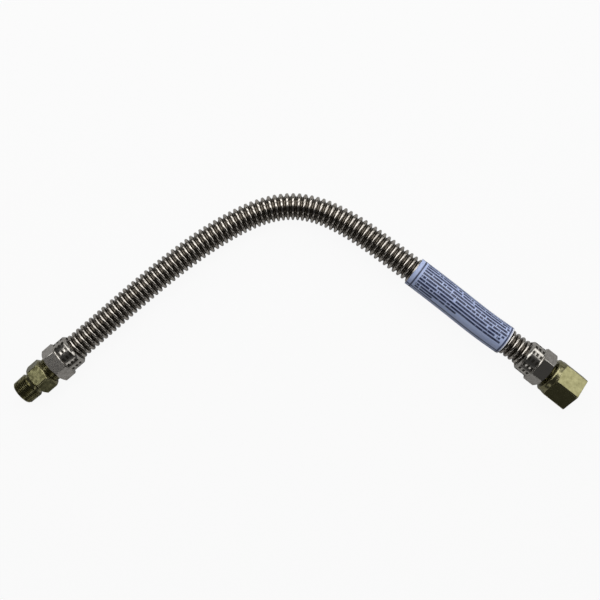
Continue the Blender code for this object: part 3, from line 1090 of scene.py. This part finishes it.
@dataclass
class BellowsTube:
    """The corrugated tube: ring-shaped folds, with a plain cuff and a flare at each end.

    Attributes:
        flank_angle: How steep a fold's flanks are, in degrees from the tube's axis.
        crest_share: The crest's share of the sum of the two roundings' radii.
        arc_steps: How many steps each rounding has outside.
        inner_steps: How many it has inside.
    """

    route: Route
    finish: BellowsFinish = STEEL_TUBE
    wall: float = 0.3 * MM
    pitch: float = 5.6 * MM
    flare_diameter: float = 24.6 * MM
    flank_angle: float = 70.0
    crest_share: float = 0.68
    arc_steps: int = 5
    inner_steps: int = 2
    sides: int = 44
    cord_points: int = 120

    def half_fold(self, half_pitch: float, steps: int, thickness: float) -> Profile:
        """The wall from the bottom of a trough to just short of the top of the next crest.

        Args:
            half_pitch: The distance along the tube from trough to crest.
            steps: How many steps each rounding has.
            thickness: How far inside the outer surface the profile lies.

        Returns:
            Pairs of distance along the tube and radius.
        """
        angle = math.radians(self.flank_angle)
        depth = (CREST_DIAMETER - CUFF_DIAMETER) / 2
        both = (half_pitch * math.sin(angle) - depth * math.cos(angle)) / (1 - math.cos(angle))
        crest_round = self.crest_share * both
        trough_round = both - crest_round
        low = trough_round + thickness
        high = crest_round - thickness
        trough_centre = CUFF_DIAMETER / 2 + trough_round
        crest_centre = CREST_DIAMETER / 2 - crest_round
        points = []
        for i in range(steps + 1):
            turn = angle * i / steps
            points.append((low * math.sin(turn), trough_centre - low * math.cos(turn)))
        for i in range(steps, 0, -1):
            turn = angle * i / steps
            points.append((half_pitch - high * math.sin(turn), crest_centre + high * math.cos(turn)))
        return points

    def folds(self, steps: int, thickness: float) -> Profile:
        """The profile of all the folds, from the first trough to the last."""
        total = self.route.length + 2 * FOLD_REACH
        count = round(total / self.pitch)
        half_pitch = total / count / 2
        rising = self.half_fold(half_pitch, steps, thickness)
        crest = CREST_DIAMETER / 2 - thickness
        fold = [*rising, (half_pitch, crest)]
        fold += [(2 * half_pitch - x, radius) for x, radius in reversed(rising[1:])]
        profile = [
            (-FOLD_REACH + 2 * half_pitch * k + x, radius) for k in range(count) for x, radius in fold
        ]
        return [*profile, (self.route.length + FOLD_REACH, CUFF_DIAMETER / 2 - thickness)]

    def ended(self, folds: Profile, thickness: float) -> Profile:
        """Adds the cuff and the flare to both ends of a profile."""
        cuff, flare = CUFF_DIAMETER / 2, self.flare_diameter / 2
        corner = -FOLD_REACH - CUFF_LENGTH - thickness * (DIAGONAL - 1)
        tip = -FOLD_REACH - CUFF_LENGTH - (flare - cuff)
        end = [(tip, flare - thickness * DIAGONAL), (corner, cuff - thickness)]
        other = [(self.route.length - x, radius) for x, radius in reversed(end)]
        return [*end, *folds, *other]

    def build(self) -> Object:
        """Turns the wall straight, bends it onto its route and gives it its finish."""
        outer = self.ended(self.folds(self.arc_steps, 0.0), 0.0)
        inner = self.ended(self.folds(self.inner_steps, self.wall), self.wall)
        bm = spun(outer + inner[::-1], self.sides, closed=True)
        for face in bm.faces:
            face.smooth = True
        piece = as_object(bm, "corrugated_tube_shown")
        mesh = piece.data
        straight = self.route.bend_mesh(mesh)
        radius = np.hypot(straight[:, 1], straight[:, 2])
        low, high = CUFF_DIAMETER / 2, CREST_DIAMETER / 2
        fold = mesh.attributes.new("fold", "FLOAT", "POINT")
        fold.data.foreach_set("value", np.clip((radius - low) / (high - low), 0, 1).astype(np.float32))
        mesh.materials.append(MATERIALS[self.finish.name])
        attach(piece, "root")
        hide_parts("corrugated_tube")
        LOG.info("%s: %d faces", piece.name, len(mesh.polygons))
        return piece

    def centreline(self) -> list[tuple[float, float, float]]:
        """Points along the whole tube, from one flare to the other."""
        reach = FOLD_REACH + CUFF_LENGTH + (self.flare_diameter - CUFF_DIAMETER) / 2
        points, _ = self.route.at(np.linspace(-reach, self.route.length + reach, self.cord_points))
        return [tuple(p) for p in points]


@dataclass
class PrintedSleeve:
    """The printed sleeve: a thin closed ring that hangs loosely on the tube's folds."""

    route: Route
    finish: SleeveFinish = PRINTED_FILM
    play: float = 1.2 * MM
    wall: float = 0.4 * MM
    length: float = SLEEVE_LENGTH
    to_nut: float = 22.2 * MM
    sides: int = 96
    rings: int = 40

    def build(self) -> Object:
        """Turns the sleeve straight, bends it onto the route and prints it."""
        end = self.route.length - self.to_nut
        start = end - self.length
        inner = CREST_DIAMETER / 2 + self.play
        outer = inner + self.wall
        places = [start + self.length * i / self.rings for i in range(self.rings + 1)]
        wall = [(x, outer) for x in places] + [(x, inner) for x in reversed(places)]
        bm = spun(wall, self.sides, closed=True)
        uv = bm.loops.layers.uv.new("print")
        for face in bm.faces:
            face.smooth = True
            middle = face.calc_center_median()
            about = math.atan2(middle.y, middle.z)
            for loop in face.loops:
                co = loop.vert.co
                angle = math.atan2(co.y, co.z)
                angle += math.tau * round((about - angle) / math.tau)
                loop[uv].uv = ((co.x - start) / MM, -angle * outer / MM)
        piece = as_object(bm, "label_sleeve_shown")
        mesh = piece.data
        self.route.bend_mesh(mesh, lowered=self.play - TOUCH_GAP)
        mesh.set_sharp_from_angle(angle=SMOOTH_ANGLE)
        mesh.materials.append(MATERIALS[self.finish.name])
        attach(piece, "root")
        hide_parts("label_sleeve")
        LOG.info("%s: %d faces", piece.name, len(mesh.polygons))
        return piece


@dataclass
class Lamp:
    """A rectangular soft light that points at a place."""

    name: str
    place: tuple[float, float, float]
    size: tuple[float, float]
    watts: float
    aim: tuple[float, float, float] = (0.0, 0.0, 0.0)

    def hang(self) -> None:
        """Adds the light to the scene."""
        data = bpy.data.lights.new(self.name, "AREA")
        data.shape = "RECTANGLE"
        data.size, data.size_y = self.size
        data.energy = self.watts
        lamp = bpy.data.objects.new(self.name, data)
        lamp.location = self.place
        toward = Vector(self.aim) - Vector(self.place)
        lamp.rotation_euler = toward.to_track_quat("-Z", "Y").to_euler()
        bpy.context.scene.collection.objects.link(lamp)


@dataclass
class Studio:
    """The pale floor, the soft lights and the camera above the part."""

    camera_height: float = 0.90
    image_middle: tuple[float, float] = (0.0006, 0.0006)
    view_angle: float = 37.8
    floor_size: float = 8.0
    floor_whiteness: float = 0.93
    floor_mirrored: float = 0.125
    floor_grey: float = 0.50
    room_grey: float = 0.02
    room_mirrored: float = 0.03
    lamps: tuple[Lamp, ...] = (
        Lamp("window", (-0.15, 1.21, 0.70), (2.2, 0.50), 11.0),
        Lamp("overhead", (-0.12, 0.60, 1.27), (2.15, 0.66), 14.5),
        Lamp("side", (1.25, 0.50, 0.90), (0.9, 0.9), 3.0),
        Lamp("low_side", (1.25, 0.68, 0.37), (0.5, 0.25), 1.0),
        Lamp("fill", (0.0, -1.10, 0.69), (2.0, 0.22), 1.6),
    )

    def ray_share(self, graph: Graph, seen: float, mirrored: float) -> NodeSocket:
        """One share for rays from the camera, another for mirrored ones, and 0 for the rest."""
        path = graph.add("LightPath")
        bounced = graph.math("ADD", path.outputs["Is Glossy Ray"], path.outputs["Is Transmission Ray"])
        direct = graph.math("MULTIPLY", path.outputs["Is Camera Ray"], seen)
        return graph.math("MULTIPLY_ADD", bounced, mirrored, direct)

    def build_floor(self) -> None:
        """A floor that shows as white to the camera and keeps the part's soft shadow."""
        bm = bmesh.new()
        bmesh.ops.create_grid(bm, x_segments=1, y_segments=1, size=self.floor_size / 2)
        floor = as_object(bm, "floor")
        made = bpy.data.materials.new("floor")
        graph = Graph.of(made)
        matte = graph.add("BsdfDiffuse", {"Color": (*[self.floor_grey] * 3, 1)})
        white = graph.add("Emission", {"Color": (1, 1, 1, 1), "Strength": 1.0})
        share = self.ray_share(graph, self.floor_whiteness, self.floor_mirrored)
        mixed = graph.add("MixShader", {0: share, 1: matte.outputs[0], 2: white.outputs[0]})
        graph.add("OutputMaterial", {"Surface": mixed.outputs[0]})
        floor.data.materials.append(made)

    def build_world(self) -> None:
        """White where the camera sees it, a share of that in metal, and a dim grey room else."""
        world = bpy.data.worlds.new("studio")
        bpy.context.scene.world = world
        graph = Graph.of(world)
        share = self.ray_share(graph, 1.0, self.room_mirrored)
        colour = graph.mix(share, (*[self.room_grey] * 3, 1), (1, 1, 1, 1))
        sky = graph.add("Background", {"Color": colour, "Strength": 1.0})
        graph.add("OutputWorld", {"Surface": sky.outputs[0]})

    def build_camera(self) -> None:
        """The camera, looking straight down on the middle of the picture."""
        data = bpy.data.cameras.new("camera")
        data.sensor_width = 36.0
        data.lens = data.sensor_width / 2 / math.tan(math.radians(self.view_angle) / 2)
        camera = bpy.data.objects.new("camera", data)
        camera.location = (*self.image_middle, self.camera_height)
        bpy.context.scene.collection.objects.link(camera)
        bpy.context.scene.camera = camera

    def build(self) -> None:
        """Sets up the studio."""
        bpy.context.scene.view_settings.view_transform = "Standard"
        self.build_camera()
        self.build_floor()
        self.build_world()
        for lamp in self.lamps:
            lamp.hang()


MATERIALS: dict[str, Material] = {}


def make_route() -> Route:
    """The centreline, at the heights at which the nut, the block and the bend rest."""
    return Route(
        start_height=hexagon_reach(NUT_FLATS, MALE_NUT_ROLL),
        top_height=CREST_DIAMETER / 2,
        end_height=hexagon_reach(BLOCK_FLATS, BLOCK_ROLL),
    )


def main() -> None:
    """Builds the studio and the pieces, in order."""
    logging.basicConfig(level=logging.INFO, format="%(name)s: %(message)s")
    Studio().build()
    groups = {"tool_marks": tool_marks_group(), "metal_grain": grain_group()}
    metals = (STEEL_TUBE, NUT_TURNED, NUT_FLAT, NUT_MARK_SHADE, BRASS_TURNED, BRASS_COLLAR_SHADED, BRASS_FLAT)
    for finish in metals:
        MATERIALS[finish.name] = finish.material(groups)
    MATERIALS[PRINTED_FILM.name] = PRINTED_FILM.material()
    route = make_route()
    ends, _ = route.at(np.array([0.0, route.length]))
    male, female = Vector(ends[0]), Vector(ends[1])
    male_heading, female_heading = route.start_heading + 180, route.end_heading

    tube_maker = BellowsTube(route)
    tube = tube_maker.build()
    nut = (NUT_TURNED, NUT_FLAT)
    brass = (BRASS_TURNED, BRASS_FLAT)
    # The collar's flats take the darker brass, which is painted shade
    shaded_rough_brass = (BRASS_TURNED, BRASS_COLLAR_SHADED)
    seat = Seat(male, male_heading, MALE_NUT_ROLL)
    FlareNut("flare_nut_male_end", seat, *nut, mark_turn=MALE_MARK_TURN).build()
    seat = Seat(male, male_heading, COLLAR_ROLL)
    MaleAdapter("male_pipe_adapter", seat, *shaded_rough_brass).build()
    seat = Seat(female, female_heading, FEMALE_NUT_ROLL)
    far_nut = FlareNut("flare_nut_female_end", seat, *nut, mark_turn=FEMALE_MARK_TURN).build()
    seat = Seat(female, female_heading, BLOCK_ROLL)
    far_adapter = FemaleAdapter("female_pipe_adapter", seat, *brass).build()
    sleeve = PrintedSleeve(route).build()
    line = tube_maker.centreline()


if __name__ == "__main__":
    main()
